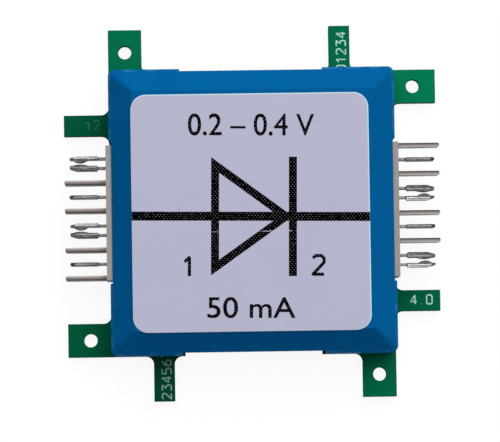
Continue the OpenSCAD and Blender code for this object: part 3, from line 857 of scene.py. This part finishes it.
def fin_mesh(side, fin):
    shape = bmesh.new()
    middle = Vector((side * (FIN_ROOT + FIN_TIP) / 2, side * fin, (FIN_FOOT + FIN_TOP) / 2)) * MM
    size = Vector((FIN_TIP - FIN_ROOT, FIN_THICK, FIN_TOP - FIN_FOOT)) * MM
    in_place = Matrix.Translation(middle) @ Matrix.Diagonal((*size, 1))
    bmesh.ops.create_cube(shape, size=1, matrix=in_place)
    for corner in shape.verts:
        if corner.co.z > middle.z and (corner.co.y - middle.y) * side > 0:
            corner.co.y -= side * FIN_DRAFT * MM
    at_tip = [edge for edge in shape.edges if all_near(edge, 0, side * FIN_TIP)]
    soften(shape, [edge for edge in at_tip if not level(edge)], TIP_ROUND, 5)
    rims = [edge for edge in shape.edges if level(edge)]
    rims = [edge for edge in rims if not all_near(edge, 0, side * FIN_ROOT)]
    soften(shape, rims, RIM_ROUND, 2)
    mesh = bpy.data.meshes.new("fin")
    shape.to_mesh(mesh)
    shape.free()
    return mesh

# %% Housings
PLATE_ROUND = 0.1


def new_fins(side):
    def reshape(shape):
        bmesh.ops.bisect_plane(
            shape,
            geom=shape.verts[:] + shape.edges[:] + shape.faces[:],
            dist=MERGE,
            plane_co=(side * FRONT * MM, 0, 0),
            plane_no=(side, 0, 0),
            clear_outer=True,
        )
        open_rims = [edge for edge in shape.edges if edge.is_boundary]
        bmesh.ops.holes_fill(shape, edges=open_rims, sides=0)
        for fin in FINS:
            shape.from_mesh(fin_mesh(side, fin))

    return reshape


def plate_edge_weight(start, end):
    return 0.0 if max(abs(start.x), abs(end.x)) > FRONT + NEAR else 1.0


for name, side, finish in (("right", 1, right_beige), ("left", -1, left_beige)):
    rounded(
        name + "_housing",
        name + "_connector",
        finish,
        PLATE_ROUND,
        2,
        plate_edge_weight,
        new_fins(side),
    )

# %% [markdown]
# ## Contacts
# Blades and beams are stamped from tinned bronze and have gone dark and patchy with handling.
# Seen from above, a blade shows a thin painted highlight along its middle, and the outer strip of
# one beam of each pair is rubbed bright and also carries a painted highlight, stronger on the
# right housing. The strips end just before the tips, and the roots are a lighter, streaky grey.
# The distance from the middle of the nearest contact place says where such a strip begins and
# ends, and where the painted shade on the rim of the upper face starts. Only faces that look up
# get the painted light.

# %% Contact finishes
PITCH = 4.0
ROOT_END = 1.0
TIP_START = 3.8
BLADE = {"low": -0.2, "high": 0.06, "rim": 0.29}
PLAIN_BEAM = {"low": 0.38, "high": 0.5, "rim": 0.9}
RUBBED_AND_LIT_BEAM = {"low": 0.56, "high": 1.2, "rim": 1.3}


def stamped_finish(name, low, high, rim, brightness, painted_sheen=0):
    finish = new_finish(name)
    spot = finish.place()
    off = abs(abs(abs(finish.axis(spot, "Y")) - PITCH) - PITCH / 2)
    out = abs(finish.axis(spot, "X")) - FRONT
    facing = finish.facing()
    # Painted light on faces that look up, and painted shade on the rim around them.
    up = finish.ramp(facing, 0.6, 0.96) * (1 - finish.ramp(off, rim - 0.1, rim - 0.02))
    painted_contact_rim_shade = (1 - up) * finish.ramp(facing, 0.1, 0.4)
    mottle = finish.noise(finish.stretched(spot, 1, 2, 1), 0.3, 4, 0.7)
    mottle = finish.ramp(mottle, 0.3, 0.7)
    streaks = finish.noise(finish.stretched(spot, 0.35, 4, 1), 0.45, 3)
    streaks = finish.ramp(streaks, 0.52, 0.7)
    strip = finish.band(off, low - 0.04, low + 0.03, high - 0.03, high + 0.04)
    strip = strip * (1 - finish.ramp(out, TIP_START - 0.1, TIP_START + 0.1))
    beyond_root = finish.ramp(out, ROOT_END - 0.1, ROOT_END + 0.1)
    light = (strip * (mottle * 0.6 + 0.5) * brightness).larger(streaks * 0.45)
    root = (1 - finish.ramp(out, ROOT_END - 0.3, ROOT_END - 0.2)) * (streaks * 0.3 + 0.35)
    root = root * finish.ramp(facing, 0.75, 0.96)
    light = (light * up * beyond_root).larger(root)
    tarnish = finish.blend(mottle, colour(40, 39, 42), colour(96, 95, 98))
    tarnish = finish.blend(painted_contact_rim_shade, tarnish, colour(54, 52, 54))
    duller = colour(150 + painted_sheen, 148 + painted_sheen, 149 + painted_sheen)
    brighter = colour(214 + painted_sheen, 209 + painted_sheen, 207 + painted_sheen)
    finish.surface(
        Base_Color=finish.blend(light, tarnish, finish.blend(mottle, duller, brighter)),
        Metallic=0.5,
        Roughness=0.42 + mottle * 0.2,
        Specular_IOR_Level=0.1,
        Normal=finish.bump(finish.noise(spot, 0.1), 0.006),
    )
    return finish


blade_finish = stamped_finish("blade_metal", **BLADE, brightness=0.5)
plain_finish = stamped_finish("plain_beam_metal", **PLAIN_BEAM, brightness=0.6)
# The right beams get a stronger painted highlight than the left ones.
right_rubbed_and_lit = stamped_finish("right_rubbed_and_lit_metal", **RUBBED_AND_LIT_BEAM, brightness=1.5, painted_sheen=22)
left_rubbed_and_lit = stamped_finish("left_rubbed_and_lit_metal", **RUBBED_AND_LIT_BEAM, brightness=0.85)

# %% Contacts
CONTACT_ROUND = 0.09

for side, rubbed_and_lit_finish in (("right", right_rubbed_and_lit), ("left", left_rubbed_and_lit)):
    for place, finish in (
        ("blade_1", blade_finish),
        ("blade_3", blade_finish),
        ("receptacle_2", plain_finish),
        ("receptacle_4", plain_finish),
        ("beam_2a", plain_finish),
        ("beam_4a", plain_finish),
        ("beam_2b", rubbed_and_lit_finish),
        ("beam_4b", rubbed_and_lit_finish),
    ):
        piece_name = f"{side}_stamped_{place}"
        rounded(f"{side}_{place}", piece_name, finish, CONTACT_ROUND)

# %% [markdown]
# ## The diode
# A point-contact diode is a glass tube with a bead of glass melted round each lead. Inside, a
# springy wire touches a small crystal of germanium. Glass needs its transmission and index of
# refraction as plain values on the shader, because the export can't follow a link there.

# %% Glass finishes
glass_finish = new_finish("diode_glass")
glass_finish.surface(
    Base_Color=colour(236, 244, 238),
    Roughness=0.04,
    Transmission_Weight=1.0,
    IOR=1.5,
)
bead_finish = new_finish("seal_glass")
swirl = bead_finish.noise(bead_finish.place(), 0.4, 3)
bead_finish.surface(
    Base_Color=bead_finish.blend(swirl, colour(96, 134, 124), colour(150, 182, 170)),
    Roughness=0.12,
    Specular_IOR_Level=0.6,
)
dress_nodes(glass_finish, "glass_envelope")
dress_nodes(bead_finish, "anode_bead", "cathode_bead")

# %% Metal and crystal finishes
wire_finish = new_finish("tinned_wire")
drawn = wire_finish.noise(wire_finish.stretched(wire_finish.place(), 0.3, 3, 3), 0.3, 3)
wire_finish.surface(
    Base_Color=wire_finish.blend(drawn, colour(170, 168, 164), colour(208, 206, 202)),
    Metallic=1.0,
    Roughness=0.25 + drawn * 0.2,
)
whisker_finish = new_finish("whisker_wire")
drawn = whisker_finish.noise(whisker_finish.place(), 0.1, 2)
whisker_finish.surface(
    Base_Color=whisker_finish.blend(drawn, colour(196, 164, 110), colour(226, 196, 140)),
    Metallic=1.0,
    Roughness=0.3,
)
crystal_finish = new_finish("germanium")
facets = crystal_finish.noise(crystal_finish.place(), 0.3, 3)
crystal_finish.surface(
    Base_Color=crystal_finish.blend(facets, colour(84, 86, 92), colour(124, 126, 132)),
    Metallic=1.0,
    Roughness=0.15 + facets * 0.3,
)
dress_nodes(wire_finish, "anode_lead", "cathode_lead", "whisker_post", "crystal_post")
dress_nodes(whisker_finish, "cat_whisker")
dress_nodes(crystal_finish, "germanium_crystal")

# %% Band finish
band_finish = new_finish("band_paint")
brushed = band_finish.noise(band_finish.stretched(band_finish.place(), 4, 1, 1), 0.5, 3)
band_finish.surface(
    Base_Color=band_finish.blend(brushed, colour(18, 18, 20), colour(40, 40, 42)),
    Roughness=0.35 + brushed * 0.2,
    Normal=band_finish.bump(brushed, 0.01),
)
dress_nodes(band_finish, "cathode_band")

# %% [markdown]
# ## Numbers on the tabs
# Marks on a circuit board are printed in pale silkscreen ink, with a single thin stroke, so the
# same pen draws them. Here they are plain counting digits. Ink lies thinly and unevenly on the
# mask. On the lower tab it is darkened with painted shade, and on the left one it is nearly worn
# off.

# %% Silkscreen digits
STROKE = 0.19
SILK_LIFT = 0.02
SILK_HEIGHT = 1.08


def silk_finish(name, dull, bright):
    finish = new_finish(name)
    thin = finish.noise(finish.place(), 0.3, 3, 0.6)
    finish.surface(
        Base_Color=finish.blend(thin, dull, bright),
        Roughness=0.6,
        Specular_IOR_Level=0.05,
    )
    return finish


pale_silk = silk_finish("pale_silkscreen", colour(140, 200, 175), colour(196, 232, 216))
# The lower tab's ink is darkened with painted shade.
shaded_silk = silk_finish("shaded_silkscreen", colour(104, 152, 134), colour(156, 196, 180))
faint_silk = silk_finish("faint_silkscreen", colour(14, 98, 64), colour(60, 128, 98))
for name, digits, x, y, turn, step, finish in (
    ("top_tab_number", "01234", 11.5, 16.95, 90, 1.0, pale_silk),
    ("bottom_tab_number", "234567", -9.97, -22.1, 90, 1.0, shaded_silk),
    ("right_tab_number", "4.0", 18.85, -11.2, 0, 0.95, pale_silk),
    ("left_tab_number", "12", -19.7, 10.1, 8, 1.0, faint_silk),
):
    foot = (x, y, BOARD_TOP)
    pen_number(name, digits, foot, turn, SILK_HEIGHT, step, STROKE, SILK_LIFT, "block", finish)
